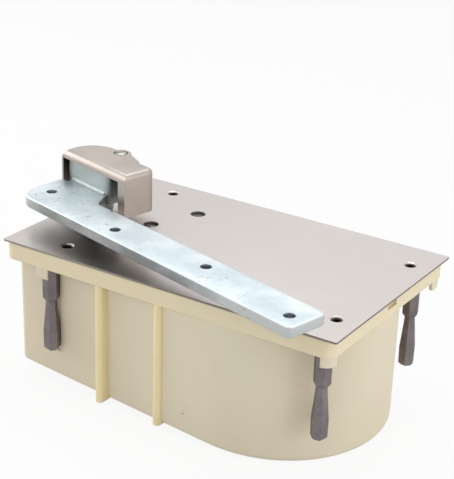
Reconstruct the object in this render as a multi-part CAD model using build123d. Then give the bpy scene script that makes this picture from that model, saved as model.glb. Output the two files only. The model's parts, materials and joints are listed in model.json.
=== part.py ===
"""Floor spring door closer: a moulded floor case with the closer inside it, a sheet floor plate and an offset door arm.

Millimetres, +Z up. Everything is drawn with the plate's top at z = 0 and its front left corner at x = y = 0.
The finished assembly is then moved so that the middle of its lowest level is the origin.
"""

import math
import os

from build123d import *

os.makedirs("parts", exist_ok=True)

# Floor plate
plate_length = 304.8
plate_width = 185.6
plate_thickness = 1.5
plate_corner = 1.2
plate_left_hole = (49.8, 19.8)
plate_right_hole = (plate_length - 18.3, 33.3)
plate_hole_radius = 4.4
plate_dimple_radius = 5.6
plate_dimple_depth = 0.9
valve_window_radius = 6.4
spindle_window_radius = 15.0

# Spindle axis, on the plate's centre line
pivot_x = 20.0
pivot_y = plate_width / 2

# Case
rim_inset_left = 0.0
rim_inset_right = 3.2
rim_inset_side = 0.5
rim_corner = 10.0
rim_height = 14.1
rim_wall = 3.0
flange_thickness = 3.5
case_wall = 3.0
case_floor = 4.0
case_left = 0.3
case_side_inset = 17.6
case_left_half_width = plate_width / 2 - case_side_inset
case_left_corner = 6.0
case_right_inset = 6.1
case_round_radius = plate_width / 2 - rim_inset_side
case_round_centre = plate_length - case_right_inset - case_round_radius
case_draft = 0.3
case_depth_left = 115.8
case_bottom_fillet = 5.5
case_depth_right = 124.4
rib_places = (94.0, 150.2)
rib_width = 7.0
rib_face_inset = 0.4
rim_top_chamfer = 0.8
rim_notch_width = 14.4
rim_notch_depth = 2.6
rim_notch_bottom = -9.6

# Anchors
anchor_radius = 6.9
anchor_neck_radius = 4.5
anchor_length = 74.0
anchor_block_length = 27.0
anchor_left = (41.6, 8.7)
anchor_right = (plate_length - 20.3, 20.9)
anchor_right_drop = 4.0
web_depth = 9.5
left_tab_bottom = -24.6
right_tab_bottom = -23.4
anchor_screw_radius = 2.5
anchor_screw_length = 31.0

# Closer body, a casting with a level top and the barrel cast into it
body_left = 5.5
body_side_gap = 15.2
body_left_half_width = case_left_half_width - body_side_gap
body_round_gap = 14.3
body_round_radius = case_round_radius - body_round_gap
body_wall = 6.5
body_top = -16.8
body_bottom = -104.0
body_floor = 8.0
cavity_left = body_left + 3.3
cavity_left_half_width = body_left_half_width - body_wall
cavity_round_radius = body_round_radius - body_wall
gasket_thickness = 0.8
cover_thickness = 10.0
cover_screw_radius = 3.0
cover_screw_length = 16.0

# Barrel, piston and springs, all along X
barrel_z = -58.0
barrel_radius = 38.0
bore_radius = 30.05
barrel_start = 44.0
barrel_end = case_round_centre + body_round_radius - 1.4
piston_radius = 30.0
piston_length = 49.5
plug_length = 19.0
plug_start = barrel_end - plug_length - 2.0
outer_wire = 4.0
outer_coil = 24.5
outer_turns = 7.5
inner_wire = 2.7
inner_coil = 14.5
inner_turns = 9.5
spigot_radius = 10.0

# Cam and roller: the cam lifts the roller by a constant amount per turned angle
cam_small_radius = 9.5
cam_angle = 115.0
cam_lift_per_radian = 5.0
cam_thickness = 12.4
roller_radius = 7.5
roller_width = 13.0
roller_gap = 0.3
roller_pin_radius = 4.0
fork_width = 22.0
fork_cheek = 6.7
fork_gap = 0.3

# Spindle
spindle_radius = 9.0
spindle_shoulder_radius = 9.2
spindle_foot_radius = 8.0
spindle_square = 14.0
spindle_top = 34.0
running_clearance = 0.05
bearing_outer_radius = 12.4
spindle_step = body_bottom + 10.0
thrust_washer_height = 1.5
lower_bearing_top = spindle_step + 13.8
lower_boss_top = spindle_step + 14.0

# Regulating valves
sweep_valve_place = (76.2, pivot_y + 3.5)
latch_valve_place = (94.5, pivot_y + 45.8)
valve_head_radius = 5.5
valve_stem_radius = 4.0

# Door arm, drawn with the spindle axis at x = y = 0 and its bar along X
arm_rest_angle = -14.7
arm_under = 15.5
arm_thickness = 9.4
arm_centre = -44.8
arm_width = 36.5
arm_end = 296.5
arm_first_hole = -4.6
arm_hole_step = 95.9
arm_hole_stagger = 4.5
arm_hole_radius = 3.3
hub_radius = 21.4
hub_face = -10.0
hub_right = 27.4
hub_top = 43.7
hub_skirt_radius = 16.0
hub_skirt_bottom = 3.0

# Pivot cap
cap_radius = 28.8
cap_middle = -2.0
cap_front = -14.4
cap_right = 58.5
cap_back = 17.4
cap_wall = 1.8
cap_post = 6.6
cap_front_corner = 3.2
cap_bottom = 14.2
cap_top = 50.8
cap_edge = 3.0
cap_boss_radius = 8.8
cap_screw_place = (12.4, 18.1)
cap_screw_radius = 2.5
cap_screw_head = 5.7
cap_seat = 36.0

pivot = Pos(pivot_x, pivot_y, 0)
arm_place = pivot * Rot(0, 0, arm_rest_angle)
barrel_axis = Pos(0, pivot_y, barrel_z)


def rod(radius, z_low, z_high, place=(0, 0)):
    """An upright cylinder between two heights."""
    return Pos(place[0], place[1], (z_low + z_high) / 2) * Cylinder(radius, abs(z_high - z_low))


def block(x_low, x_high, y_low, y_high, z_low, z_high):
    """A box between limits."""
    centre = Pos((x_low + x_high) / 2, (y_low + y_high) / 2, (z_low + z_high) / 2)
    return centre * Box(x_high - x_low, y_high - y_low, z_high - z_low)


def lying_rod(radius, x_low, x_high, y=0.0, z=0.0):
    """A cylinder along X between two places."""
    return Pos((x_low + x_high) / 2, y, z) * Rot(0, 90, 0) * Cylinder(radius, abs(x_high - x_low))


def lying_ring(outer, inner, x_low, x_high):
    """A ring about the X axis."""
    return lying_rod(outer, x_low, x_high) - lying_rod(inner, x_low - 1, x_high + 1)


def one_solid(shape):
    """The largest solid of a result, with its inner seams removed."""
    solids = sorted(shape.solids(), key=lambda s: s.volume)
    return solids[-1].clean()


def shield_face(left, left_half, corner, centre, radius):
    """The case's plan: straight sides that widen from the left end into a round right end."""
    run = centre - left
    lean = math.asin((radius - left_half) / run)
    normal = (-math.sin(lean), -math.cos(lean))
    offset = radius - corner
    arc_x = left + corner
    arc_y = (offset - normal[0] * (arc_x - centre)) / normal[1]
    mid = math.radians(225) - lean / 2
    a = Vector(left, arc_y)
    b = Vector(arc_x + corner * math.cos(mid), arc_y + corner * math.sin(mid))
    c = Vector(arc_x + corner * normal[0], arc_y + corner * normal[1])
    d = Vector(centre + radius * normal[0], radius * normal[1])
    far = Vector(centre + radius, 0)
    up = [Vector(p.X, -p.Y) for p in (d, c, b, a)]
    edges = [
        ThreePointArc(a, b, c),
        Line(c, d),
        ThreePointArc(d, far, up[0]),
        Line(up[0], up[1]),
        ThreePointArc(up[1], up[2], up[3]),
        Line(up[3], a),
    ]
    return Pos(0, pivot_y, 0) * make_face(Curve() + edges)


def case_prism(inward, top, lift):
    """The case's body, moved inward, from a top level down to its sloping underside moved up by lift."""
    face = shield_face(
        case_left + inward,
        case_left_half_width - inward,
        max(case_left_corner - inward, 1.0),
        case_round_centre,
        case_round_radius - inward,
    )
    long_prism = extrude(Pos(0, 0, top) * face, amount=-170, taper=case_draft)
    run = case_round_centre + case_round_radius - case_left
    slope = math.degrees(math.atan((case_depth_right - case_depth_left) / run))
    keep = Pos(case_left, pivot_y, lift - case_depth_left) * Rot(0, slope, 0) * Pos(150, 0, 200)
    return long_prism & (keep * Box(900, 900, 400))


def rounded_plan(x_low, x_high, y_low, y_high, corner):
    """A rounded rectangle in plan."""
    centre = Pos((x_low + x_high) / 2, (y_low + y_high) / 2, 0)
    return centre * RectangleRounded(x_high - x_low, y_high - y_low, corner)


def both_sides(place):
    """A place in plan and its mirror across the plate's centre line."""
    return [place, (place[0], plate_width - place[1])]


def hex_prism(radius, z_low, z_high, turn=0.0):
    """An upright hexagonal bar."""
    return Pos(0, 0, z_low) * Rot(0, 0, turn) * extrude(RegularPolygon(radius, 6), amount=z_high - z_low)


def socket_screw(head_radius, head_height, shank_radius, length):
    """A socket head screw, the underside of its head at z = 0."""
    body = rod(head_radius, 0, head_height) + rod(shank_radius, -length, 0.0)
    return body - hex_prism(head_radius * 0.52, head_height * 0.45, head_height + 1)


def flat_screw(head_radius, head_height, shank_radius, length):
    """A slotted flat head screw, the top of its head at z = 0."""
    head = Pos(0, 0, -head_height / 2) * Rot(180, 0, 0) * Cone(head_radius, shank_radius, head_height)
    body = head + rod(shank_radius, -length, -head_height)
    return body - block(-head_radius, head_radius, -0.6, 0.6, -head_height * 0.4, 1)


def coil_spring(coil_radius, wire, turns, x_low, x_high, left_hand):
    """A compression spring along X whose wire touches both end levels."""
    height = x_high - x_low - 2 * wire
    path = Helix(pitch=height / turns, height=height, radius=coil_radius, lefthand=left_hand)
    section = Plane(origin=path @ 0, z_dir=path % 0) * Circle(wire)
    wound = sweep(section, path=path)
    return Pos(x_low + wire, 0, 0) * Rot(0, 90, 0) * wound


# Places that several pieces share
cover_top = body_top + gasket_thickness + cover_thickness
cover_bottom = body_top + gasket_thickness
rim_bottom = -plate_thickness - rim_height
flange_top = -plate_thickness
flange_bottom = flange_top - flange_thickness
boss_top = flange_top - 0.5
valve_seat = boss_top - 6.0
rim_limits = (
    rim_inset_left,
    plate_length - rim_inset_right,
    rim_inset_side,
    plate_width - rim_inset_side,
)
plate_holes = both_sides(plate_left_hole) + both_sides(plate_right_hole)
left_anchors = both_sides(anchor_left)
right_anchors = both_sides(anchor_right)
roller_centre = pivot_x + cam_small_radius + roller_gap + roller_radius
piston_face = roller_centre + roller_radius + 1.7
piston_back = piston_face + piston_length
pin_half = roller_width / 2 + fork_gap + fork_cheek


def body_edge(x):
    """Half the closer body's width at a place along it."""
    share = (x - body_left) / (case_round_centre - body_left)
    return body_left_half_width + share * (body_round_radius - body_left_half_width)


cover_screw_places = []
for screw_x in (24.0, 88.0, 160.0):
    cover_screw_places += both_sides((screw_x, pivot_y - body_edge(screw_x) + 8.2))
cover_screw_places += both_sides((case_round_centre + 49.0, pivot_y - 49.0))
case_bolt_places = both_sides((75.0, pivot_y - 48.0)) + both_sides((235.0, pivot_y - 48.0))
bolt_seat = body_bottom - 5.5
filler_place = (200.0, pivot_y - 50.0)


def make_case():
    outer = case_prism(0, flange_bottom, 0)
    outer = fillet(outer.faces().sort_by(Axis.Z)[0].edges(), case_bottom_fillet)
    rim_outline = rounded_plan(*rim_limits, rim_corner)
    x_low, x_high, y_low, y_high = rim_limits
    inside = rounded_plan(
        x_low + rim_wall, x_high - rim_wall, y_low + rim_wall, y_high - rim_wall, rim_corner - rim_wall
    )
    rim = extrude(Pos(0, 0, flange_top) * rim_outline, amount=-rim_height)
    rim = chamfer(rim.faces().sort_by(Axis.Z)[-1].edges(), rim_top_chamfer)
    rim -= extrude(Pos(0, 0, flange_bottom) * inside, amount=-rim_height)
    shape = rim + outer
    slab = case_prism(-30, flange_top, 0)
    for x in rib_places:
        for side in (-1, 1):
            reach = pivot_y - rim_limits[2] - rib_face_inset
            nose = rib_width / 2
            y_nose = pivot_y + side * (reach - nose)
            y_root = pivot_y + side * (pivot_y - 30)
            column = block(x - nose, x + nose, min(y_nose, y_root), max(y_nose, y_root), -170, flange_bottom)
            column += rod(nose, -170, flange_bottom, (x, y_nose))
            shape += column & slab
    for place in left_anchors:
        shape += rod(anchor_radius, rim_bottom, flange_bottom, place) & slab
    for place in right_anchors:
        shape += rod(anchor_radius, rim_bottom - anchor_right_drop, flange_bottom, place)
    for place in plate_holes:
        shape += rod(6.5, rim_bottom + 0.6, flange_bottom, place)
    # Tabs that hang from the rim beside the right anchors
    corner = (rim_limits[1] - rim_corner, rim_limits[2] + rim_corner)
    bend = rod(rim_corner, right_tab_bottom, flange_bottom, corner) - rod(rim_corner - 2.4, -30, 0, corner)
    x_mid = corner[0] + 5.4
    y_mid = corner[1] - 6.2
    shape += bend & block(x_mid - 4.6, x_mid + 4.6, y_mid - 5.2, y_mid + 5.2, -30, 0)
    y_tab = plate_width - 22.1
    back_tab = block(rim_limits[1] - 2.4, rim_limits[1], y_tab, y_tab + 10.5, right_tab_bottom, flange_bottom)
    low = [e for e in back_tab.edges().filter_by(Axis.X) if e.center().Z < right_tab_bottom + 1]
    shape += fillet(low, 3.0)
    # Webs that hold the right anchors' bosses to the wall
    for place in right_anchors:
        turn = math.degrees(math.atan2(place[1] - pivot_y, place[0] - case_round_centre))
        web = block(-22, -anchor_radius - 0.2, -1.6, 1.6, rim_bottom - web_depth, flange_bottom)
        shape += Pos(place[0], place[1], 0) * Rot(0, 0, turn) * web
    shape -= case_prism(case_wall, 1, case_floor)
    # Channels in the wall behind the left anchors, and the tabs in front of them
    channel_bottom = rim_bottom - anchor_length - 3
    for place in left_anchors:
        shape += rod(anchor_radius + case_wall, channel_bottom - case_wall, rim_bottom, place) & outer
        shape -= rod(anchor_radius + 0.3, channel_bottom, rim_bottom, place)
    for side in (-1, 1):
        y_face = pivot_y + side * (pivot_y - rim_inset_side)
        y_back = y_face - side * 1.3
        x_tab = anchor_left[0] - 8.7
        low, high = sorted((y_face, y_back))
        shape += block(x_tab, x_tab + 11.9, low, high, left_tab_bottom, flange_bottom)
    # Pads that carry the closer body, with its bolts' counterbores from below
    for place in case_bolt_places:
        pad = rod(11.0, -170, body_bottom, place) & slab
        shape += pad
        shape -= rod(4.3, -170, 0, place)
        shape -= rod(8.0, -170, bolt_seat, place)
    for place in left_anchors + right_anchors:
        shape -= rod(anchor_screw_radius + 0.1, -60, 0, place)
        recess = Pos(place[0], place[1], flange_top - 1.4) * Rot(180, 0, 0)
        shape -= recess * Cone(5.3, anchor_screw_radius + 0.1, 2.8)
    for place in plate_holes:
        shape -= rod(4.2, flange_top - 9.0, 0, place)
    notch_x = rim_limits[1]
    half = rim_notch_width / 2
    shape -= block(notch_x - rim_notch_depth, notch_x + 1, pivot_y - half, pivot_y + half, rim_notch_bottom, 1)
    return one_solid(shape)


def make_plate():
    outline = rounded_plan(0, plate_length, 0, plate_width, plate_corner)
    plate = extrude(Pos(0, 0, -plate_thickness) * outline, amount=plate_thickness)
    for place in plate_holes:
        plate -= rod(plate_hole_radius, -5, 5, place)
        dimple = Pos(place[0], place[1], -plate_dimple_depth / 2)
        plate -= dimple * Cone(plate_hole_radius, plate_dimple_radius, plate_dimple_depth)
    for place in (sweep_valve_place, latch_valve_place):
        plate -= rod(valve_window_radius, -5, 5, place)
    plate -= rod(spindle_window_radius, -5, 5, (pivot_x, pivot_y))
    return plate


def make_body():
    outline = shield_face(body_left, body_left_half_width, 10.0, case_round_centre, body_round_radius)
    outer = extrude(Pos(0, 0, body_bottom) * outline, amount=body_top - body_bottom)
    hollow = shield_face(cavity_left, cavity_left_half_width, 6.0, case_round_centre, cavity_round_radius)
    floor_z = body_bottom + body_floor
    shape = outer - extrude(Pos(0, 0, floor_z) * hollow, amount=200)
    barrel = barrel_axis * lying_rod(barrel_radius, barrel_start, case_round_centre + body_round_radius - 4)
    web = block(barrel_start - 1, 400, pivot_y - 14, pivot_y + 14, floor_z - 1, barrel_z)
    inner = barrel + web
    x, y = sweep_valve_place
    inner += rod(8.5, barrel_z, body_top, (x, y))
    x, y = latch_valve_place
    inner += block(x - 9, x + 9, pivot_y + 20, y + 9, barrel_z, body_top)
    for place in cover_screw_places:
        inner += rod(7.5, floor_z - 1, body_top, place)
    for place in case_bolt_places:
        inner += rod(9.0, floor_z - 1, floor_z + 8, place)
    inner += rod(15.5, floor_z - 1, lower_boss_top, (pivot_x, pivot_y))
    shape += inner & outer
    shape -= barrel_axis * lying_rod(bore_radius, barrel_start - 30, 400)
    shape -= block(barrel_end, 400, pivot_y - 34, pivot_y + 34, barrel_z - 34, barrel_z + 34)
    shape += rod(15.5, floor_z - 1, lower_boss_top, (pivot_x, pivot_y)) & outer
    shape -= rod(bearing_outer_radius, spindle_step, lower_boss_top, (pivot_x, pivot_y))
    for place in cover_screw_places:
        shape -= rod(cover_screw_radius, body_top - cover_screw_length, 0, place)
    for place in case_bolt_places:
        shape -= rod(4.0, -150, floor_z + 4, place)
    for place in (sweep_valve_place, latch_valve_place):
        shape -= rod(valve_stem_radius + running_clearance, valve_seat - 16.5, 0, place)
        shape -= rod(1.6, barrel_z + 8, -20, place)
    # The latch valve's passage runs across to the bore
    x, y = latch_valve_place
    y_bore = pivot_y + bore_radius - 4
    across = Pos(x, (y + y_bore) / 2, barrel_z + 10.3) * Rot(90, 0, 0)
    shape -= across * Cylinder(1.1, y - y_bore + 0.6)
    return one_solid(shape)


def cover_outline():
    return shield_face(body_left, body_left_half_width, 10.0, case_round_centre, body_round_radius)


def make_cover():
    shape = extrude(Pos(0, 0, cover_bottom) * cover_outline(), amount=cover_thickness)
    limit = extrude(Pos(0, 0, cover_bottom) * cover_outline(), amount=40)
    shape += rod(16.5, cover_bottom, boss_top, (pivot_x, pivot_y)) & limit
    for place in (sweep_valve_place, latch_valve_place):
        shape += rod(9.5, cover_bottom, boss_top, place)
    shape -= rod(bearing_outer_radius, -50, 10, (pivot_x, pivot_y))
    for place in (sweep_valve_place, latch_valve_place):
        shape -= rod(valve_stem_radius + running_clearance, -50, 10, place)
        shape -= rod(valve_head_radius + running_clearance, boss_top - 6, 10, place)
    for place in cover_screw_places:
        shape -= rod(cover_screw_radius, -50, 10, place)
        shape -= rod(5.4, cover_top - 6.5, 10, place)
    shape -= rod(6.0, -50, 10, filler_place)
    shape -= rod(8.6, cover_top - 2.5, 10, filler_place)
    return shape


def make_gasket():
    shape = extrude(Pos(0, 0, body_top) * cover_outline(), amount=gasket_thickness)
    hollow = shield_face(cavity_left, cavity_left_half_width, 6.0, case_round_centre, cavity_round_radius)
    opening = extrude(Pos(0, 0, body_top - 1) * hollow, amount=5)
    for place in cover_screw_places:
        opening -= rod(7.5, body_top - 2, 5, place)
    shape -= opening
    for place in cover_screw_places:
        shape -= rod(cover_screw_radius, -50, 10, place)
    return one_solid(shape)


def make_anchor():
    """One anchor, its top at z = 0: a hexagon bar drawn in to a neck and flared again."""
    block_part = hex_prism(anchor_radius, -anchor_block_length, 0)
    levels = [
        (anchor_radius, -anchor_block_length),
        (anchor_neck_radius, -anchor_block_length - 3.5),
        (anchor_neck_radius * 1.06, -anchor_block_length - 8.0),
        (anchor_radius, -anchor_length + 17.0),
        (anchor_radius * 0.97, -anchor_length + 2.4),
        (anchor_radius * 0.62, -anchor_length),
    ]
    shape = block_part
    for (r_a, z_a), (r_b, z_b) in zip(levels, levels[1:]):
        lower = Pos(0, 0, z_b) * RegularPolygon(r_b, 6)
        upper = Pos(0, 0, z_a) * RegularPolygon(r_a, 6)
        shape += loft([lower, upper], ruled=True)
    shape -= rod(anchor_screw_radius, -20, 1)
    return shape


def make_anchors():
    one = make_anchor()
    out = []
    for place, turn in zip(left_anchors, (-13, 13)):
        out.append(Pos(place[0], place[1], rim_bottom) * Rot(0, 0, turn) * one)
    for place, turn in zip(right_anchors, (12, -12)):
        out.append(Pos(place[0], place[1], rim_bottom - anchor_right_drop) * Rot(0, 0, turn) * one)
    return out


def make_anchor_screws():
    one = flat_screw(5.2, 2.8, anchor_screw_radius, anchor_screw_length)
    return [Pos(x, y, flange_top) * one for x, y in left_anchors + right_anchors]


def cam_face():
    """The cam: its working edge stays one roller away from a spiral pitch line."""
    points = []
    step = cam_angle / 23
    for i in range(25):
        angle = math.radians(-i * step + step)
        pitch = cam_small_radius + roller_radius + cam_lift_per_radian * max(-angle, 0)
        slope = -cam_lift_per_radian if angle < 0 else 0.0
        # Tangent of the pitch line for growing angle, and its normal towards the spindle
        tx = slope * math.cos(angle) - pitch * math.sin(angle)
        ty = slope * math.sin(angle) + pitch * math.cos(angle)
        size = math.hypot(tx, ty)
        inward = (-ty / size, tx / size)
        x = pitch * math.cos(angle) + inward[0] * roller_radius
        y = pitch * math.sin(angle) + inward[1] * roller_radius
        points.append(Vector(x, y))
    edge = Spline(points[1:])
    first, last = edge @ 0, edge @ 1
    end_angle = math.radians(-cam_angle - 14)
    inner = Vector(8.0 * math.cos(end_angle), 8.0 * math.sin(end_angle))
    tip = Vector(last.X * 0.96 - 0.6, last.Y * 0.97)
    lines = [edge, Line(last, tip), Line(tip, inner), Line(inner, Vector(0, 6)), Line(Vector(0, 6), first)]
    return make_face(Curve() + lines)


def make_spindle():
    shape = rod(spindle_foot_radius, spindle_step + thrust_washer_height, lower_boss_top + 1)
    shape += rod(spindle_shoulder_radius, lower_boss_top + 0.5, cover_bottom - 0.5)
    cam_low = barrel_z - cam_thickness / 2
    shape += extrude(Pos(0, 0, cam_low) * cam_face(), amount=cam_thickness)
    shape += rod(spindle_radius, cover_bottom - 1, 4)
    flats = Pos(0, 0, 3) * Rot(0, 0, arm_rest_angle) * Rectangle(spindle_square, spindle_square)
    shape += extrude(flats, amount=spindle_top - 3) & rod(spindle_radius, 3, spindle_top)
    shape -= rod(4.0, spindle_top - 22, spindle_top + 1)
    return pivot * one_solid(shape)


def make_piston():
    shape = lying_rod(piston_radius, piston_face, piston_back)
    shape += lying_rod(spigot_radius, piston_back, piston_back + 14)
    fork_end = roller_centre - 6.3
    inner = roller_width / 2 + fork_gap
    for side in (-1, 1):
        low, high = sorted((side * inner, side * (inner + fork_cheek)))
        shape += block(fork_end, piston_face + 1, -fork_width / 2, fork_width / 2, low, high)
    shape -= rod(roller_pin_radius, -40, 40, (roller_centre, 0))
    # Grooves for the ring, a relief in the middle and the check valve's seat
    shape -= lying_ring(40, piston_radius - 2.5, piston_face + 6, piston_face + 10)
    shape -= lying_ring(40, piston_radius - 1.2, piston_face + 16, piston_back - 8)
    shape -= lying_rod(5.0, piston_face - 1, piston_face + 12, 18, 0)
    shape -= lying_rod(2.0, piston_face, piston_back + 1, 18, 0)
    return barrel_axis * one_solid(shape)


def make_check_valve():
    shape = lying_rod(5.0, piston_face + 0.4, piston_face + 12, 18, 0)
    shape -= lying_rod(1.4, piston_face - 1, piston_face + 13, 18, 0)
    shape -= block(piston_face - 1, piston_face + 1.8, 12, 24, -0.6, 0.6)
    return barrel_axis * shape


def make_valve():
    """One regulating valve, the underside of its head at z = 0."""
    shape = rod(valve_head_radius, 0, 5.6) + rod(valve_stem_radius, -15.5, 0)
    shape -= block(-8, 8, -0.65, 0.65, 3.8, 7)
    groove = rod(6, -6.2, -4.0) - rod(3.1, -7, -3)
    return shape - groove


def make_end_plug():
    shape = lying_rod(piston_radius, plug_start, plug_start + plug_length)
    shape += lying_rod(spigot_radius, plug_start - 16, plug_start)
    shape -= lying_ring(40, piston_radius - 2.4, plug_start + 5, plug_start + 8.5)
    for side in (-1, 1):
        shape -= lying_rod(3.5, plug_start + plug_length - 8, 400, side * 16, 0)
    return barrel_axis * shape


def arm_outline():
    """The arm's plan: a straight bar with a wide pad at the hub end."""
    front = arm_centre - arm_width / 2
    back = arm_centre + arm_width / 2
    corners = [
        (arm_end, front),
        (-16.0, front),
        (-19.2, -48.0),
        (-23.9, -15.0),
        (-17.5, -15.0),
        (-17.5, hub_face + 2),
        (hub_right - 2, hub_face + 2),
        (hub_right, hub_face),
        (39.0, back),
        (arm_end, back),
    ]
    face = make_face(Polyline([*corners, corners[0]]))
    points = face.vertices()
    tail = [v for v in points if v.X > arm_end - 1]
    head = [v for v in points if v.X < 0 and v.Y < front + 1]
    bend = [v for v in points if -24 < v.X < -18 and v.Y < -40]
    notch = [v for v in points if 38 < v.X < 40]
    face = fillet(tail, 4.0)
    for group, radius in ((head, 12.0), (notch, 5.0), (bend, 9.0)):
        near = [v for v in face.vertices() if any((v.center() - g.center()).length < 0.01 for g in group)]
        face = fillet(near, radius)
    return face


def make_arm():
    top = arm_under + arm_thickness
    shape = extrude(Pos(0, 0, arm_under) * arm_outline(), amount=arm_thickness)
    rim = [e for e in shape.edges() if abs(e.center().Z - top) < 0.01 and e.center().Y < hub_face - 6]
    shape = chamfer(rim, 0.9)
    hub_plan = Pos(0, cap_middle) * Circle(hub_radius) & Pos(0, hub_face + 50) * Rectangle(100, 100)
    hub_plan += Pos(hub_right / 2, (hub_face + 9) / 2) * Rectangle(hub_right, 9 - hub_face)
    hub = extrude(Pos(0, 0, arm_under) * hub_plan, amount=hub_top - arm_under)
    sx, sy = cap_screw_place
    lug = block(0, sx + 4, 0, sy - 1, arm_under, cap_seat)
    lug &= rod(hub_radius, arm_under, cap_seat, (0, cap_middle))
    lug += rod(5.0, arm_under, cap_seat, (sx, sy))
    hub -= rod(cap_boss_radius - 2.4, cap_seat, cap_top, (sx, sy))
    shape += hub + lug
    foot = [
        e
        for e in shape.edges()
        if abs(e.center().Z - top) < 0.01 and e.length > 20 and abs(e.center().Y - hub_face) < 0.5
    ]
    shape = fillet(foot, 2.2)
    shape += rod(hub_skirt_radius, hub_skirt_bottom, arm_under + 1)
    square = Rectangle(spindle_square, spindle_square) & Circle(spindle_radius)
    shape -= extrude(Pos(0, 0, hub_skirt_bottom - 1) * square, amount=spindle_top - hub_skirt_bottom + 1)
    shape -= rod(spindle_radius + 0.2, hub_skirt_bottom - 1, 4.2)
    shape -= rod(8.2, spindle_top, hub_top + 1)
    shape -= rod(cap_screw_radius, cap_seat - 16, cap_seat + 1, (sx, sy))
    for i, x in enumerate(arm_hole_places()):
        y = arm_centre + (arm_hole_stagger if i % 2 == 0 else -arm_hole_stagger)
        shape -= rod(arm_hole_radius, 0, 30, (x, y))
        sink = Pos(x, y, arm_under + 1.6) * Rot(180, 0, 0)
        shape -= sink * Cone(arm_hole_radius, 6.5, 3.2)
    return one_solid(shape)


def arm_hole_places():
    return [arm_first_hole + i * arm_hole_step for i in range(4)]


def make_cap():
    sx, sy = cap_screw_place
    plan = Pos(0, cap_middle) * Circle(cap_radius)
    plan += Pos(sx, sy) * Circle(cap_boss_radius)
    tail = Pos(cap_right / 2, (cap_front + cap_back) / 2) * Rectangle(cap_right, cap_back - cap_front)
    tail = fillet([v for v in tail.vertices() if v.X > 1 and v.Y > 0], 7.0)
    tail = fillet([v for v in tail.vertices() if v.X > 1 and v.Y < 0], cap_front_corner)
    plan += tail
    plan &= Pos(0, cap_front + 100) * Rectangle(300, 200)
    shape = extrude(Pos(0, 0, cap_bottom) * plan, amount=cap_top - cap_bottom)
    top_edges = [e for e in shape.edges() if abs(e.center().Z - cap_top) < 0.01]
    shape = fillet(top_edges, cap_edge)
    room = Pos(0, cap_middle) * Circle(cap_radius - cap_wall)
    side = cap_right - cap_post
    deep = cap_back - cap_wall
    room += Pos(side / 2, (deep - 40) / 2) * Rectangle(side, deep + 40)
    shape -= extrude(Pos(0, 0, cap_bottom - 1) * room, amount=hub_top - cap_bottom + 1)
    shape -= rod(5.3, cap_bottom - 1, cap_seat, (sx, sy))
    shape += rod(5.3, cap_seat, hub_top + 1, (sx, sy))
    shape -= rod(cap_screw_radius, 0, 90, (sx, sy))
    sink = Pos(sx, sy, cap_top - 1.6) * Cone(cap_screw_radius, cap_screw_head, 3.2)
    shape -= sink
    return one_solid(shape)


def ring(outer, inner, z_low, z_high, place):
    return rod(outer, z_low, z_high, place) - rod(inner, z_low - 1, z_high + 1, place)


pivot_place = (pivot_x, pivot_y)
valve = make_valve()
valve_ring = ring(valve_stem_radius, 3.1, -6.2, -4.0, (0, 0))
case_bolt = Rot(180, 0, 0) * socket_screw(6.5, 6.0, 4.0, bolt_seat * -1 + body_bottom + body_floor + 2)
cover_screw = socket_screw(5.0, 5.5, cover_screw_radius, cover_screw_length + 3.5)
head_seat = cover_top - 6.5

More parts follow.
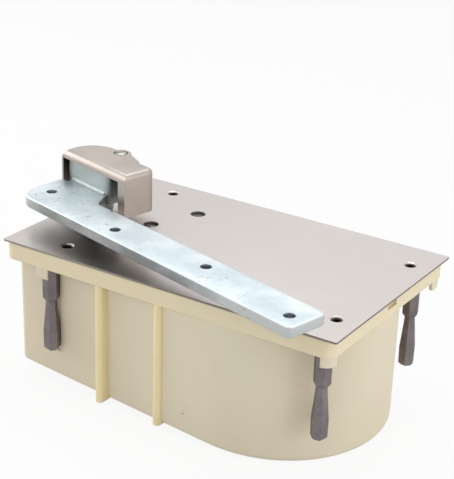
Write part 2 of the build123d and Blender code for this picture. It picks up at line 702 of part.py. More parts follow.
nodes = {
    "cement_case": make_case(),
    "floor_plate": make_plate(),
    "closer_body": make_body(),
    "body_gasket": make_gasket(),
    "body_cover": make_cover(),
    "cover_screws": [Pos(x, y, head_seat) * cover_screw for x, y in cover_screw_places],
    "case_bolts": [Pos(x, y, bolt_seat) * case_bolt for x, y in case_bolt_places],
    "rim_inserts": [ring(4.2, 2.6, flange_top - 8.5, flange_top, place) for place in plate_holes],
    "floor_anchors": make_anchors(),
    "anchor_screws": make_anchor_screws(),
    "filler_plug": Pos(filler_place[0], filler_place[1], cover_top - 2.5) * socket_screw(8.5, 3.5, 6.0, 7.5),
    "spindle": make_spindle(),
    "upper_bearing": ring(
        bearing_outer_radius, spindle_radius + running_clearance, cover_bottom, boss_top - 4.2, pivot_place
    ),
    "spindle_seal": ring(
        bearing_outer_radius, spindle_radius + running_clearance, boss_top - 4.2, boss_top - 0.4, pivot_place
    ),
    "lower_bearing": ring(
        bearing_outer_radius,
        spindle_foot_radius + running_clearance,
        spindle_step + thrust_washer_height,
        lower_bearing_top,
        pivot_place,
    ),
    "thrust_washer": rod(
        bearing_outer_radius, spindle_step, spindle_step + thrust_washer_height, pivot_place
    ),
    "piston": make_piston(),
    "piston_ring": barrel_axis * lying_ring(piston_radius + 0.03, piston_radius - 2.5, piston_face + 6, piston_face + 10),
    "check_valve": make_check_valve(),
    "roller_pin": rod(roller_pin_radius, barrel_z - pin_half, barrel_z + pin_half, (roller_centre, pivot_y)),
    "cam_roller": ring(
        roller_radius,
        roller_pin_radius + running_clearance,
        barrel_z - roller_width / 2,
        barrel_z + roller_width / 2,
        (roller_centre, pivot_y),
    ),
    "outer_spring": barrel_axis * coil_spring(outer_coil, outer_wire, outer_turns, piston_back, plug_start, False),
    "inner_spring": barrel_axis * coil_spring(inner_coil, inner_wire, inner_turns, piston_back, plug_start, True),
    "end_plug": make_end_plug(),
    "end_plug_ring": barrel_axis * lying_ring(piston_radius, piston_radius - 2.4, plug_start + 5, plug_start + 8.5),
    "sweep_valve": Pos(*sweep_valve_place, valve_seat) * valve,
    "sweep_valve_ring": Pos(*sweep_valve_place, valve_seat) * valve_ring,
    "latch_valve": Pos(*latch_valve_place, valve_seat) * Rot(0, 0, 35) * valve,
    "latch_valve_ring": Pos(*latch_valve_place, valve_seat) * valve_ring,
    "door_arm": arm_place * make_arm(),
    "arm_washer": arm_place * ring(8.0, 4.0, spindle_top, spindle_top + 1.6, (0, 0)),
    "arm_screw": arm_place * Pos(0, 0, spindle_top + 1.6) * socket_screw(6.5, 7.0, 4.0, 20.0),
    "pivot_cap": arm_place * make_cap(),
    "cap_screw": arm_place * Pos(*cap_screw_place, cap_top) * flat_screw(cap_screw_head, 3.2, cap_screw_radius, 26.0),
}


def as_compound(shape):
    """A node's solids as one compound."""
    pieces = shape if isinstance(shape, list) else [shape]
    return Compound(children=[solid for piece in pieces for solid in piece.solids()])


compounds = {name: as_compound(shape) for name, shape in nodes.items()}
boxes = [c.bounding_box() for c in compounds.values()]
x_middle = (min(b.min.X for b in boxes) + max(b.max.X for b in boxes)) / 2
y_middle = (min(b.min.Y for b in boxes) + max(b.max.Y for b in boxes)) / 2
z_bottom = min(b.min.Z for b in boxes)
to_frame = Pos(-x_middle, -y_middle, -z_bottom)
print("moved by", -x_middle, -y_middle, -z_bottom)
for name, compound in compounds.items():
    export_step(to_frame * compound, f"parts/{name}.step")
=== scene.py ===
"""Looks of a floor spring door closer.

The solids of the case, plate and closer get their finishes. The door arm, its cap and the cap's screw are
made here, with rounder edges than the solids have. Then come the floor, the sky, the lamps and the camera.
"""

import json
import math
from functools import cached_property

import bmesh
import bpy
from mathutils import Euler, Matrix, Vector


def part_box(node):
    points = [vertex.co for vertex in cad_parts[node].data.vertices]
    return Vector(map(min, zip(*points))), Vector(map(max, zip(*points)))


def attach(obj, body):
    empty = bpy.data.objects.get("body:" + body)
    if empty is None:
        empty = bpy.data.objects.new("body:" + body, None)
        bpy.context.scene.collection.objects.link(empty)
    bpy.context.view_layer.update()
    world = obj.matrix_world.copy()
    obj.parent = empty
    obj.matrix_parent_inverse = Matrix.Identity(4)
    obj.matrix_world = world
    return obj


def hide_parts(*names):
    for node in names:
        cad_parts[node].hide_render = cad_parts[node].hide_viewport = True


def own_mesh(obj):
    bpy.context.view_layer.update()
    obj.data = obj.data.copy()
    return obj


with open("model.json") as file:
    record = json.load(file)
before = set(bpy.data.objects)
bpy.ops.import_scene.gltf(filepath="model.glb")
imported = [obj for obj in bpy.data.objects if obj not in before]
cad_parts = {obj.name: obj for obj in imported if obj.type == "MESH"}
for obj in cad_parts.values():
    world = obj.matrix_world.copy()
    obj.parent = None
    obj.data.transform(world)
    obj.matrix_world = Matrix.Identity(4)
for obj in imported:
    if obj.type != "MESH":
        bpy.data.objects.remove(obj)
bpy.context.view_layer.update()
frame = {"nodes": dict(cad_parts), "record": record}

nodes = frame["nodes"]

# Places in metres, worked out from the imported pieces
plate_low, plate_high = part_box("floor_plate")
plate_top = plate_high.z
plate_middle = (plate_low + plate_high) / 2
rim_bottom = plate_low.z - 0.0141
rib_middles = (plate_low.x + 0.094, plate_low.x + 0.1502)
rib_half = 0.0035

# The door arm's own frame, in millimetres: the bar lies along X, the spindle's axis is at x = y = 0
# and the plate's top is at z = 0
arm_rest_angle = -14.7
pivot_inset = 0.020
arm_frame = Matrix.Translation((plate_low.x + pivot_inset, plate_middle.y, plate_top))
arm_frame = arm_frame @ Matrix.Rotation(math.radians(arm_rest_angle), 4, "Z") @ Matrix.Scale(0.001, 4)

# How far a cut goes past a piece, how far it starts outside a face, and how deep a rounding
# starts inside one
well_past = 120.0
cut = 1.0
sunk = 0.3

# The bar of the arm
arm_under = 15.5
arm_top = 24.9
arm_front = -63.05
arm_back = -26.55
arm_end = 296.5
arm_end_corner = 4.0
arm_nose = ((-14.5, arm_front, 16.0), (-22.0, -46.0, 12.0))
arm_shoulder = (-24.4, -15.0)
arm_top_round = 1.4
arm_foot_round = 1.6
arm_first_hole = (-4.6, -40.3)
arm_hole_step = 95.9
arm_hole_stagger = -9.0
arm_bore = 3.3
arm_mouth = 4.5
arm_mouth_depth = 3.5
arm_sink = 6.5
arm_sink_depth = 3.2
hole_x, hole_y = arm_first_hole
arm_holes = [(hole_x + arm_hole_step * i, hole_y + arm_hole_stagger * (i % 2)) for i in range(4)]
arm_hole_tops = [arm_frame @ Vector((x, y, arm_top)) for x, y in arm_holes]
arm_level = plate_top + arm_top * 0.001

# The hub on the arm's inner end
hub_radius = 22.8
hub_face = -10.0
hub_left = -17.5
hub_right = 31.0
hub_back = 9.0
hub_corner = 4.0
hub_neck = 40.0
hub_top = 43.6
hub_bore = 8.2
hub_skirt = 16.0
hub_low = 3.0
hub_foot_round = 2.6

# The pivot cap over the hub, and its screw
cap_radius = 28.8
cap_middle = -2.0
cap_front = -14.4
cap_right = 58.5
cap_back = 17.6
cap_back_corner = 6.0
cap_tail_start = -4.0
cap_wall = 1.8
cap_post = 8.6
cap_bottom = 14.2
cap_top = 50.8
cap_ceiling = 43.7
cap_lip = 6.0
cap_shoulder = 9.0
cap_tail_round = 4.5
cap_web = [(8, 12), (44, 12.5), (38, 17.4), (19.5, 23.3), (12, 26.2)]
cap_boss_radius = 8.8
cap_boss_round = 1.0
cap_step = 0.01  # the tops of the cap's parts lie this far apart
cap_screw_place = (12.4, 18.1)
cap_screw_head = 5.0
cap_screw_shank = 2.4
cap_screw_dome = 1.2
cap_screw_rim = cap_top - 0.2
cap_sink_gap = 0.9
cap_sink_depth = 2.2
screw_slot_half = 0.7
screw_slot_depth = 0.6
screw_slot_turn = 70

# The place under the cap's tail, where shade is painted on the plate
under_cap_tail = arm_frame @ Vector((38, -8, 0))

# A speck in the case's front
case_speck = (plate_low.x + 0.1748, plate_low.y + 0.0033, plate_top - 0.1022)


class Wire:
    """A value on a wire of a finish; arithmetic on it adds Math nodes."""

    def __init__(self, finish, socket):
        self.finish = finish
        self.socket = socket

    def math(self, operation, *values):
        new = self.finish.node("ShaderNodeMath", {"operation": operation}, dict(enumerate(values)))
        return self.finish.out(new)

    def __add__(self, other):
        return self.math("ADD", self, other)

    __radd__ = __add__

    def __sub__(self, other):
        return self.math("SUBTRACT", self, other)

    def __rsub__(self, other):
        return self.math("SUBTRACT", other, self)

    def __mul__(self, other):
        return self.math("MULTIPLY", self, other)

    __rmul__ = __mul__

    def __abs__(self):
        return self.math("ABSOLUTE", self)

    def ramp(self, low, high):
        """0 below low and 1 above high, smooth between them."""
        settings = {"interpolation_type": "SMOOTHSTEP"}
        sockets = {"Value": self, "From Min": low, "From Max": high}
        return self.finish.out(self.finish.node("ShaderNodeMapRange", settings, sockets))


class Finish:
    """The nodes of a material or of the sky, all made by one method."""

    def __init__(self, owner):
        self.owner = owner
        owner.use_nodes = True
        self.tree = owner.node_tree
        self.tree.nodes.clear()

    @cached_property
    def place(self):
        """The piece's own coordinates, in metres."""
        return self.out(self.node("ShaderNodeTexCoord"), "Object")

    @cached_property
    def facing(self):
        """The way that the surface faces, as a vector of length 1."""
        return self.out(self.node("ShaderNodeNewGeometry"), "Normal")

    def node(self, kind, settings=None, sockets=None):
        new = self.tree.nodes.new(kind)
        for key, value in (settings or {}).items():
            setattr(new, key, value)
        for key, value in (sockets or {}).items():
            if isinstance(value, Wire):
                self.tree.links.new(value.socket, new.inputs[key])
            else:
                new.inputs[key].default_value = value
        return new

    def out(self, new, socket=0):
        return Wire(self, new.outputs[socket])

    def along(self, vector, axis):
        """One of the three numbers of a vector."""
        return self.out(self.node("ShaderNodeSeparateXYZ", None, {0: vector}), axis)

    def stretched(self, scale):
        """The object's own coordinates, stretched."""
        sockets = {"Vector": self.place, "Scale": scale}
        return self.out(self.node("ShaderNodeMapping", {"vector_type": "POINT"}, sockets))

    def noise(self, scale, detail=3.0, roughness=0.55, stretch=None):
        """Noise of that many waves per metre, between 0 and 1."""
        vector = self.stretched(stretch) if stretch else self.place
        sockets = {"Vector": vector, "Scale": scale, "Detail": detail, "Roughness": roughness}
        return self.out(self.node("ShaderNodeTexNoise", None, sockets))

    def cells(self, scale):
        """Distance to the nearest of many scattered points."""
        return self.out(self.node("ShaderNodeTexVoronoi", None, {"Vector": self.place, "Scale": scale}))

    def mix(self, amount, first, second):
        """One colour over another."""
        new = self.node("ShaderNodeMix", {"data_type": "RGBA"}, {0: amount, 6: first, 7: second})
        return self.out(new, 2)

    def spots(self, centres, radius, soft):
        """1 inside round spots about points, 0 outside them."""
        total = None
        for centre in centres:
            settings = {"operation": "DISTANCE"}
            away = self.node("ShaderNodeVectorMath", settings, {0: self.place, 1: centre})
            spot = 1 - self.out(away, "Value").ramp(radius, radius + soft)
            total = spot if total is None else total.math("MAXIMUM", total, spot)
        return total

    def hollow_shade(self, reach, low, high):
        """1 deep inside a hollow, 0 in the open, from ambient occlusion: the mask of painted shade in
        hollows.
        """
        new = self.node("ShaderNodeAmbientOcclusion", {"samples": 8}, {"Distance": reach})
        return 1 - self.out(new, "AO").ramp(low, high)

    def worn_edge(self, radius):
        """1 along outer edges and corners, 0 on flat stretches."""
        rounded = self.out(self.node("ShaderNodeBevel", {"samples": 6}, {"Radius": radius}))
        turn = self.node("ShaderNodeVectorMath", {"operation": "DOT_PRODUCT"}, {0: rounded, 1: self.facing})
        return (1 - self.out(turn, "Value")).ramp(0.05, 0.35)

    def surface(self, color, roughness, metallic=0.0, bumps=(), edge=0.0):
        """The finished surface. bumps are (height, depth in metres) pairs."""
        normal = None
        if edge:
            normal = self.out(self.node("ShaderNodeBevel", {"samples": 6}, {"Radius": edge}))
        for height, depth in bumps:
            sockets = {"Height": height, "Distance": depth}
            if normal:
                sockets["Normal"] = normal
            normal = self.out(self.node("ShaderNodeBump", None, sockets))
        sockets = {"Base Color": color, "Roughness": roughness, "Metallic": metallic}
        if normal:
            sockets["Normal"] = normal
        shader = self.out(self.node("ShaderNodeBsdfPrincipled", None, sockets))
        self.node("ShaderNodeOutputMaterial", None, {"Surface": shader})
        return self.owner

    def white_to_eye(self, plain, white, share):
        """The plain shader, and the white one to the camera and in mirror and glass, in that share."""
        path = self.node("ShaderNodeLightPath")
        seen = self.out(path, "Is Camera Ray") + self.out(path, "Is Glossy Ray")
        seen = (seen + self.out(path, "Is Transmission Ray")).ramp(0.0, 1.0)
        return self.out(self.node("ShaderNodeMixShader", None, {0: seen * share, 1: plain, 2: white}))


def rgba(red, green, blue):
    """A colour given as it looks on screen, from 0 to 255."""
    shares = [value / 255 for value in (red, green, blue)]
    linear = [v / 12.92 if v < 0.04045 else ((v + 0.055) / 1.055) ** 2.4 for v in shares]
    return (*linear, 1.0)


def moulded_cream():
    """The floor case: cream moulded plastic, satin. Its rim and ribs are painted lighter and yellower, as
    painted light through the thin plastic.
    """
    f = Finish(bpy.data.materials.new("moulded_cream"))
    flow = f.noise(7, 2.0, 0.5, (1.0, 1.0, 0.45))
    cloud = f.noise(28, 3.0)
    color = f.mix(flow.ramp(0.3, 0.7), rgba(222, 210, 184), rgba(229, 218, 193))
    # Painted light: the rim and the ribs are painted lighter and yellower, as light shining through thin
    # plastic.
    rim = f.along(f.place, "Z").ramp(rim_bottom - 0.0002, rim_bottom + 0.0002)
    thin = rim * 0.4
    for middle in rib_middles:
        off_rib = abs(f.along(f.place, "X") - middle)
        thin = thin + (1 - rim) * (1 - off_rib.ramp(rib_half, rib_half + 0.0003))
    color = f.mix(thin, color, rgba(245, 229, 180))
    color = f.mix(cloud.ramp(0.5, 0.8) * 0.15, color, rgba(208, 194, 160))
    speck = f.spots([case_speck], 0.0006, 0.0004)
    color = f.mix(speck * 0.7, color, rgba(92, 76, 54))
    grain = f.noise(2600, 2.0)
    wave = f.noise(30, 2.0)
    roughness = 0.42 + 0.12 * f.noise(60, 3.0)
    return f.surface(color, roughness, 0.0, ((wave, 0.0003), (grain, 0.00003)), 0.0009)


def brushed_stainless():
    """The floor plate: stainless sheet, finely brushed along its length. Its cut edge is painted darker,
    and it is painted darker towards the pivot end and under the cap's tail, all as painted shade.
    """
    f = Finish(bpy.data.materials.new("brushed_stainless"))
    lines = f.noise(1.0, 4.0, 0.65, (40.0, 3600.0, 1.0))
    broad = f.noise(1.0, 2.0, 0.5, (6.0, 60.0, 1.0))
    haze = f.noise(9, 3.0)
    color = f.mix(lines.ramp(0.3, 0.7), rgba(205, 199, 195), rgba(212, 206, 203))
    color = f.mix(haze.ramp(0.4, 0.75) * 0.4, color, rgba(216, 209, 207))
    level = f.along(f.facing, "Z").ramp(0.3, 0.9)
    # Painted shade: the sheet's side faces are painted darker, as the shade under its edge.
    color = f.mix(1 - level, color, rgba(128, 120, 114))
    # Painted shade: the plate is painted darker towards the arm's pivot end.
    painted_shade_pivot_end = 1 - f.along(f.place, "X").ramp(-0.12, 0.06)
    color = f.mix(painted_shade_pivot_end * 0.35, color, rgba(188, 182, 177))
    # Painted shade: a dark patch on the plate under the cap's tail, where the cap shades it.
    painted_shade_under_cap = f.spots([under_cap_tail], 0.016, 0.026)
    color = f.mix(painted_shade_under_cap * 0.75, color, rgba(92, 85, 79))
    roughness = 0.28 + 0.05 * lines + 0.06 * haze + 0.2 * (1 - level)
    bumps = ((lines, 0.000004), (broad, 0.00002), (haze, 0.0003))
    return f.surface(color, roughness, 1.0, bumps, 0.0002)


def zinc_plate():
    """The door arm: a rough forging under bright zinc. Level faces are painted pale and bluish as painted
    light, and flanks greyer as painted shade.
    """
    f = Finish(bpy.data.materials.new("zinc_plate"))
    cloud = f.noise(26, 4.0, 0.6)
    mottle = f.noise(120, 4.0, 0.65)
    upward = f.along(f.facing, "Z")
    # Painted light and shade: level faces get a lit, pale colour and flanks a shaded, greyer one.
    level = upward.ramp(0.45, 0.95)
    top = f.mix(cloud.ramp(0.35, 0.65), rgba(196, 208, 213), rgba(218, 227, 231))
    flank = f.mix(cloud.ramp(0.35, 0.65), rgba(126, 130, 131), rgba(156, 160, 159))
    # Painted light: the flanks are painted lighter towards the bar's outer end and at the hub's end.
    lengthwise = f.along(f.place, "X")
    painted_light_along_flank = lengthwise.ramp(0.03, 0.1) * 0.7 + (1 - lengthwise.ramp(-0.15, -0.12)) * 0.6
    flank = f.mix(painted_light_along_flank, flank, rgba(206, 210, 209))
    color = f.mix(level, flank, top)
    hub = f.along(f.place, "Z").ramp(arm_level, arm_level + 0.0005)
    color = f.mix(hub * 0.8, color, rgba(176, 184, 182))
    color = f.mix(mottle.ramp(0.58, 0.78) * 0.4, color, rgba(160, 170, 174))
    # Painted shade: the tops of the four holes are painted dark blue-grey, as the shade inside them.
    painted_shade_in_bores = f.spots(arm_hole_tops, 0.0044, 0.0001)
    color = f.mix(painted_shade_in_bores * 0.85, color, rgba(62, 76, 88))
    pits = (1 - f.cells(90).ramp(0.07, 0.16)) * f.noise(24, 2.0).ramp(0.56, 0.66)
    color = f.mix(pits * 0.6, color, rgba(92, 100, 104))
    scratches = f.noise(1.0, 3.0, 0.6, (220.0, 700.0, 700.0)).ramp(0.63, 0.68)
    handled = f.noise(16, 2.0).ramp(0.5, 0.58)
    color = f.mix(scratches * handled * 0.7, color, rgba(96, 104, 108))
    smudges = f.noise(11, 3.0, 0.6).ramp(0.52, 0.7)
    color = f.mix(smudges * 0.35, color, rgba(158, 166, 168))
    # Painted shade: the zinc is painted darker deep in hollows and in the gaps by the cap.
    color = f.mix(f.hollow_shade(0.03, 0.25, 0.6) * 0.2, color, rgba(66, 68, 66))
    # Painted highlight and wear: the rounded top edges are painted near white, as a highlight and as rubbed
    # zinc.
    shoulder = upward.ramp(0.2, 0.5) * (1 - upward.ramp(0.86, 0.985)) * (1 - hub)
    color = f.mix(shoulder * 0.4, color, rgba(246, 248, 248))
    roughness = 0.36 + 0.22 * mottle
    scale = f.noise(420, 3.0, 0.6)
    bumps = ((cloud, 0.0008), (mottle, 0.0003), (scale, 0.00005), (pits, -0.0002))
    return f.surface(color, roughness, 0.85, bumps, 0.0007)


def satin_nickel():
    """The pivot cap: satin nickel over a smooth casting, warm grey. Its top is painted lighter than its
    sides as painted light, and its hollows darker as painted shade.
    """
    f = Finish(bpy.data.materials.new("satin_nickel"))
    cloud = f.noise(22, 3.0)
    top = f.mix(cloud.ramp(0.3, 0.7), rgba(172, 163, 156), rgba(182, 174, 167))
    # Painted light: faces that look up are painted lighter than the sides.
    color = f.mix(f.along(f.facing, "Z").ramp(0.3, 0.9), rgba(170, 160, 153), top)
    grain = f.noise(1500, 3.0)
    roughness = 0.38 + 0.10 * f.noise(90, 4.0)
    # Painted shade: the inside of the cap and its other hollows are painted nearly black.
    color = f.mix(f.hollow_shade(0.012, 0.1, 0.4) * 0.8, color, rgba(50, 47, 45))
    return f.surface(color, roughness, 1.0, ((cloud, 0.0003), (grain, 0.00001)))


def dark_anchor():
    """The floor anchors: dark sintered iron, dry and slightly purple."""
    f = Finish(bpy.data.materials.new("dark_anchor"))
    cloud = f.noise(70, 4.0, 0.6)
    color = f.mix(cloud.ramp(0.3, 0.7), rgba(114, 106, 108), rgba(134, 126, 127))
    color = f.mix(f.worn_edge(0.0006) * 0.4, color, rgba(186, 178, 174))
    grain = f.noise(900, 4.0, 0.7)
    return f.surface(color, 0.46 + 0.2 * cloud, 0.8, ((grain, 0.00005), (cloud, 0.0001)), 0.0003)


def machined_steel():
    """Turned and ground steel: screws, spindle, valves, piston and bearings."""
    f = Finish(bpy.data.materials.new("machined_steel"))
    lines = f.noise(1.0, 3.0, 0.6, (300.0, 300.0, 3800.0))
    color = f.mix(lines, rgba(160, 157, 153), rgba(190, 187, 182))
    return f.surface(color, 0.24 + 0.16 * lines, 1.0, ((lines, 0.00001),), 0.0002)


def blackened_steel():
    """The threaded sleeves under the plate's holes: blackened steel, seen as dark holes."""
    f = Finish(bpy.data.materials.new("blackened_steel"))
    cloud = f.noise(240, 3.0)
    color = f.mix(cloud, rgba(20, 20, 22), rgba(34, 33, 33))
    return f.surface(color, 0.45 + 0.2 * cloud, 0.6, ((cloud, 0.00002),), 0.0002)


def cast_body():
    """The closer's body and cover: grey cast iron, painted thin."""
    f = Finish(bpy.data.materials.new("cast_body"))
    cloud = f.noise(60, 4.0)
    color = f.mix(cloud, rgba(78, 80, 82), rgba(104, 105, 106))
    sand = f.noise(700, 4.0, 0.7)
    return f.surface(color, 0.6 + 0.15 * cloud, 0.3, ((sand, 0.0001),), 0.0006)


def spring_steel():
    """The closing springs: oiled dark wire."""
    f = Finish(bpy.data.materials.new("spring_steel"))
    cloud = f.noise(180, 3.0)
    color = f.mix(cloud, rgba(64, 64, 70), rgba(96, 94, 92))
    return f.surface(color, 0.28 + 0.15 * cloud, 1.0, ((cloud, 0.00004),))


def brass():
    """The thrust washer, the piston ring and the check valve: drawn brass."""
    f = Finish(bpy.data.materials.new("brass"))
    cloud = f.noise(200, 3.0)
    color = f.mix(cloud, rgba(190, 158, 92), rgba(214, 184, 118))
    return f.surface(color, 0.3 + 0.15 * cloud, 1.0, ((cloud, 0.00002),), 0.0002)


def black_rubber():
    """The spindle seal and the O-rings: black rubber, dull."""
    f = Finish(bpy.data.materials.new("black_rubber"))
    cloud = f.noise(300, 3.0)
    color = f.mix(cloud, rgba(28, 28, 30), rgba(44, 44, 46))
    return f.surface(color, 0.62 + 0.2 * cloud, 0.0, ((cloud, 0.00003),))


def gasket_sheet():
    """The cover's gasket: dark fibre sheet."""
    f = Finish(bpy.data.materials.new("gasket_sheet"))
    fibre = f.noise(1.0, 4.0, 0.7, (900.0, 500.0, 900.0))
    color = f.mix(fibre, rgba(52, 66, 70), rgba(78, 92, 94))
    return f.surface(color, 0.75 + 0.15 * fibre, 0.0, ((fibre, 0.00004),))


finishes = {
    "moulded_case": moulded_cream(),
    "stainless_sheet": brushed_stainless(),
    "zinc_steel": zinc_plate(),
    "nickel_cap": satin_nickel(),
    "dark_anchor": dark_anchor(),
    "machined_steel": machined_steel(),
    "cast_body": cast_body(),
    "blackened_steel": blackened_steel(),
    "spring_steel": spring_steel(),
    "brass": brass(),
    "black_rubber": black_rubber(),
    "gasket": gasket_sheet(),
}
for part in frame["record"]["subparts"]:
    mesh = nodes[part["node"]].data
    mesh.materials.clear()
    mesh.materials.append(finishes[part["material_slot"]])


def arc(centre, radius, start, end, steps):
    """Points along an arc, from one angle to another in degrees."""
    turns = [math.radians(start + (end - start) * i / steps) for i in range(steps + 1)]
    return [(centre[0] + radius * math.cos(t), centre[1] + radius * math.sin(t)) for t in turns]


def rounded(corners, steps=8):
    """An outline whose corners, each (x, y, radius), are rounded."""
    points = []
    for i, (x, y, radius) in enumerate(corners):
        here = Vector((x, y))
        if radius == 0:
            points.append((x, y))
            continue
        before = (Vector(corners[i - 1][:2]) - here).normalized()
        after = (Vector(corners[(i + 1) % len(corners)][:2]) - here).normalized()
        half = before.angle(after) / 2
        centre = here + (before + after).normalized() * (radius / math.sin(half))
        first = here + before * (radius / math.tan(half)) - centre
        last = here + after * (radius / math.tan(half)) - centre
        turn = first.angle_signed(last)
        for step in range(steps + 1):
            spoke = first.copy()
            spoke.rotate(Matrix.Rotation(-turn * step / steps, 2))
            points.append(tuple(centre + spoke))
    return points


def solid(name, bm):
    """An object from a finished bmesh."""
    bmesh.ops.recalc_face_normals(bm, faces=bm.faces)
    mesh = bpy.data.meshes.new(name)
    bm.to_mesh(mesh)
    bm.free()
    piece = bpy.data.objects.new(name, mesh)
    bpy.context.scene.collection.objects.link(piece)
    return piece


def prism(outline, low, high, top_round=0.0, foot_round=0.0):
    """An upright block with that outline, its top and bottom edges rounded."""
    bm = bmesh.new()
    base = bm.faces.new([bm.verts.new((x, y, low)) for x, y in outline])
    grown = bmesh.ops.extrude_face_region(bm, geom=[base])["geom"]
    for vert in (g for g in grown if isinstance(g, bmesh.types.BMVert)):
        vert.co.z = high
    for level, radius in ((high, top_round), (low, foot_round)):
        edges = [e for e in bm.edges if all(abs(v.co.z - level) < 0.001 for v in e.verts)]
        if radius:
            bmesh.ops.bevel(bm, geom=edges, offset=radius, segments=5, profile=0.5, affect="EDGES")
    return solid("prism", bm)


def joined(piece, other, operation):
    """One solid out of two."""
    step = piece.modifiers.new("join", "BOOLEAN")
    step.operation = operation
    step.solver = "EXACT"
    step.object = other
    mesh = bpy.data.meshes.new_from_object(piece.evaluated_get(bpy.context.evaluated_depsgraph_get()))
    piece.modifiers.clear()
    piece.data = mesh
    bpy.data.objects.remove(other)
    return piece


def strip(profile, start, end):
    """A bar along X with that profile in Y and Z."""
    bm = bmesh.new()
    base = bm.faces.new([bm.verts.new((start, y, z)) for y, z in profile])
    grown = bmesh.ops.extrude_face_region(bm, geom=[base])["geom"]
    for vert in (g for g in grown if isinstance(g, bmesh.types.BMVert)):
        vert.co.x = end
    return solid("strip", bm)


def turned(place, profile, steps=96):
    """A round solid about an upright axis, from (radius, height) pairs."""
    bm = bmesh.new()
    loops = []
    for radius, z in profile:
        around = arc(place, radius, 0, 360 - 360 / steps, steps - 1)
        loops.append([bm.verts.new((x, y, z)) for x, y in around])
    for low, high in zip(loops, loops[1:]):
        for i in range(steps):
            bm.faces.new((low[i], low[(i + 1) % steps], high[(i + 1) % steps], high[i]))
    bm.faces.new(loops[0])
    bm.faces.new(loops[-1])
    return solid("turned", bm)


def disc(place, radius, low, high, top_round=0.0, steps=96):
    """An upright round block."""
    shoulder = [(radius, high)]
    if top_round:
        shoulder = arc((radius - top_round, high - top_round), top_round, 0, 90, 6)
    return turned(place, [(radius, low), *shoulder], steps)


def box(x_low, x_high, y_low, y_high, low, high):
    """A plain block between limits."""
    return prism([(x_low, y_low), (x_high, y_low), (x_high, y_high), (x_low, y_high)], low, high)


def placed(name, piece, body, slot, stands_for, smooth=35):
    """Puts a solid where the arm is, and gives it its finish, its body and the node that it stands for."""
    piece.name = name
    piece.data.name = name
    piece.data.transform(arm_frame)
    piece.data.shade_smooth()
    piece.data.set_sharp_from_angle(angle=math.radians(smooth))
    piece.data.materials.clear()
    piece.data.materials.append(finishes[slot])
    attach(piece, body)
    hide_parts(stands_for)


def make_cap():
    """The pivot cap: a round end, the screw's boss and a square tail under one top, with a rolled lip."""
    cap = disc((0, cap_middle), cap_radius, cap_bottom, cap_top, cap_shoulder, 144)
    tail_outline = [(cap_tail_start, cap_front, 0), (cap_right, cap_front, 0)]
    tail_outline += [(cap_right, cap_back, cap_back_corner), (cap_tail_start, cap_back, 0)]
    boss = disc(cap_screw_place, cap_boss_radius, cap_bottom + cap_step, cap_top - cap_step, cap_boss_round)
    tail = prism(rounded(tail_outline), cap_bottom + 2 * cap_step, cap_top - 2 * cap_step, cap_tail_round)
    web = prism(cap_web, cap_bottom + 3 * cap_step, cap_top - 3 * cap_step, cap_boss_round)
    for piece in (boss, tail, web):
        cap = joined(cap, piece, "UNION")
    lip_top = cap_top + cap_step
    lip = [(cap_front, -well_past, 0), (well_past, -well_past, 0)]
    lip += [(well_past, lip_top, 0), (cap_front, lip_top, cap_lip)]
    cap = joined(cap, strip(rounded(lip, 10), -well_past, well_past), "INTERSECT")
    room = disc((0, cap_middle), cap_radius - cap_wall, cap_bottom - cut, cap_ceiling)
    room_right = cap_right - cap_post
    tail_room = box(0, room_right, -well_past, cap_back - cap_wall, cap_bottom - cut, cap_ceiling)
    cap = joined(cap, joined(room, tail_room, "UNION"), "DIFFERENCE")
    sink = disc(cap_screw_place, cap_screw_head + cap_sink_gap, cap_top - cap_sink_depth, cap_top + cut)
    cap = joined(cap, sink, "DIFFERENCE")
    placed("cap_shell", cap, "arm", "nickel_cap", "pivot_cap")


def make_cap_screw():
    """The cap's screw: a domed, slotted head in its sink, on a plain shank."""
    seat = cap_top - cap_sink_depth
    turns = (0, 0.35, 0.7, 1.05, 1.35)
    dome = [(cap_screw_head * math.cos(t), cap_screw_rim + cap_screw_dome * math.sin(t)) for t in turns]
    shank = [(cap_screw_shank, cap_ceiling), (cap_screw_shank, seat), (cap_screw_head, seat)]
    screw = turned(cap_screw_place, shank + dome, 48)
    slot_low = cap_top - screw_slot_depth
    slot_high = cap_top + cap_screw_dome + cut
    screw_slot = box(-8, 8, -screw_slot_half, screw_slot_half, slot_low, slot_high)
    turn = Matrix.Rotation(math.radians(screw_slot_turn), 4, "Z")
    screw_slot.data.transform(Matrix.Translation((*cap_screw_place, 0)) @ turn)
    placed("cap_screw_head", joined(screw, screw_slot, "DIFFERENCE"), "arm", "machined_steel", "cap_screw")


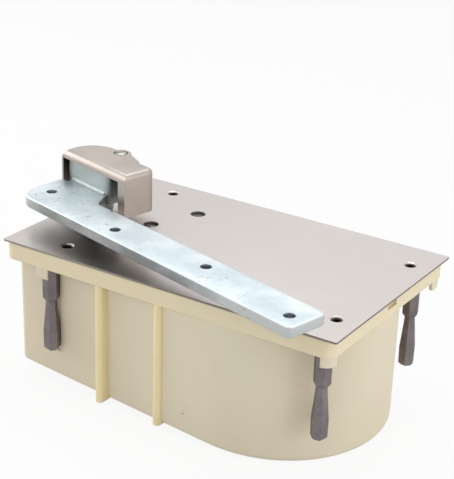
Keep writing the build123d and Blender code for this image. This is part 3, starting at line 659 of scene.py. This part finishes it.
def make_arm():
    """The door arm: a forged bar with four staggered holes, and the hub on its inner end."""
    outline = [
        (arm_end, arm_front, arm_end_corner),
        *arm_nose,
        (*arm_shoulder, 0),
        (hub_left, arm_shoulder[1], 0),
        (hub_left, hub_face + 2, 0),
        (hub_right - hub_corner, hub_face + 2, 0),
        (hub_right - 1, hub_face - 1, 2.0),
        (hub_neck, arm_back, 6.0),
        (arm_end, arm_back, arm_end_corner),
    ]
    arm = prism(rounded(outline), arm_under, arm_top, arm_top_round, arm_foot_round)
    hub_start = arm_under + cut
    hub = disc((0, cap_middle), hub_radius, hub_start, hub_top)
    behind_face = box(-well_past, well_past, hub_face, well_past, 0, well_past)
    hub = joined(hub, behind_face, "INTERSECT")
    flank = [(0, hub_face, 0), (hub_right, hub_face, hub_corner)]
    flank += [(hub_right, hub_back, hub_corner), (0, hub_back, 0)]
    hub = joined(hub, prism(rounded(flank), hub_start, hub_top), "UNION")
    arm = joined(arm, hub, "UNION")
    foot_front = hub_face - hub_foot_round
    foot_top = arm_top + hub_foot_round
    foot = [(hub_face + sunk, arm_top - sunk), (hub_face + sunk, foot_top)]
    foot += arc((foot_front, foot_top), hub_foot_round, 0, -90, 8) + [(foot_front, arm_top - sunk)]
    arm = joined(arm, strip(foot, hub_left, hub_right - hub_corner), "UNION")
    arm = joined(arm, disc((0, 0), hub_skirt, hub_low, hub_start + cut / 2), "UNION")
    arm = joined(arm, disc((0, 0), hub_bore, hub_low - cut, hub_top + cut), "DIFFERENCE")
    hole = [(arm_sink, arm_under - cut), (arm_sink, arm_under), (arm_bore, arm_under + arm_sink_depth)]
    hole += [(arm_bore, arm_top - arm_mouth_depth), (arm_mouth, arm_top), (arm_mouth, arm_top + cut)]
    for place in arm_holes:
        arm = joined(arm, turned(place, hole, 48), "DIFFERENCE")
    placed("forged_arm", arm, "arm", "zinc_steel", "door_arm", 32)


def shorten_springs():
    """The closing springs get meshes of their own."""
    for name in ("outer_spring", "inner_spring"):
        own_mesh(nodes[name])


make_cap()
make_cap_screw()
make_arm()
shorten_springs()


# The floor, the sky, the lamps (place, size, watts) and the camera
floor_whiteness = 0.9
floor_half = 6.0
sky_light = 0.58
lamp_aim = (0.0, 0.0, 0.08)
lamps = {
    "top_lamp": ((-0.1, 0.35, 1.3), 1.1, 6.5),
    "front_lamp": ((-0.2, -1.5, 0.9), 0.9, 2.6),
    "right_lamp": ((1.5, 0.1, 0.5), 0.9, 6.3),
    "left_lamp": ((-1.5, -0.1, 0.5), 0.9, 10.0),
}
camera_place = (0.5513, -0.8381, plate_top + 0.43943)
camera_turn = (66.982, -1.765, 33.126)
camera_lens = 104.39


def floor_finish():
    """Pale floor: white to the camera, and the object's shadow stays on it."""
    f = Finish(bpy.data.materials.new("pale_floor"))
    plain = f.out(f.node("ShaderNodeBsdfDiffuse", None, {"Color": (0.8, 0.8, 0.8, 1.0)}))
    glow = f.out(f.node("ShaderNodeEmission", None, {"Color": (1, 1, 1, 1), "Strength": 1.0}))
    shader = f.white_to_eye(plain, glow, floor_whiteness)
    f.node("ShaderNodeOutputMaterial", None, {"Surface": shader})
    return f.owner


def make_floor():
    """A flat square floor."""
    mesh = bpy.data.meshes.new("floor")
    corners = [(-floor_half, -floor_half, 0), (floor_half, -floor_half, 0), (floor_half, floor_half, 0)]
    corners.append((-floor_half, floor_half, 0))
    mesh.from_pydata(corners, [], [(0, 1, 2, 3)])
    mesh.materials.append(floor_finish())
    floor = bpy.data.objects.new("floor", mesh)
    bpy.context.scene.collection.objects.link(floor)


def make_sky():
    """The room round the object: soft light from all sides, white to the camera and in the metal."""
    f = Finish(bpy.data.worlds.new("sky"))
    soft = f.out(f.node("ShaderNodeBackground", None, {"Color": (1, 1, 1, 1), "Strength": sky_light}))
    white = f.out(f.node("ShaderNodeBackground", None, {"Color": (1, 1, 1, 1), "Strength": 1.0}))
    f.node("ShaderNodeOutputWorld", None, {"Surface": f.white_to_eye(soft, white, 1.0)})
    bpy.context.scene.world = f.owner


def make_lamp(name, place, size, power):
    """A soft square lamp, turned to the object."""
    light = bpy.data.lights.new(name, "AREA")
    light.shape = "SQUARE"
    light.size = size
    light.energy = power
    spot = bpy.data.objects.new(name, light)
    spot.location = place
    spot.rotation_euler = (Vector(lamp_aim) - Vector(place)).to_track_quat("-Z", "Y").to_euler()
    bpy.context.scene.collection.objects.link(spot)


def make_camera():
    """The camera, where the photograph was taken from."""
    camera = bpy.data.cameras.new("camera")
    camera.lens = camera_lens
    camera.sensor_width = 36.0
    camera.sensor_fit = "AUTO"
    camera.clip_start = 0.01
    holder = bpy.data.objects.new("camera", camera)
    holder.location = camera_place
    holder.rotation_euler = Euler([math.radians(a) for a in camera_turn], "XYZ")
    bpy.context.scene.collection.objects.link(holder)
    bpy.context.scene.camera = holder


make_floor()
make_sky()
for name, (place, size, power) in lamps.items():
    make_lamp(name, place, size, power)
make_camera()
bpy.context.scene.view_settings.view_transform = "Standard"
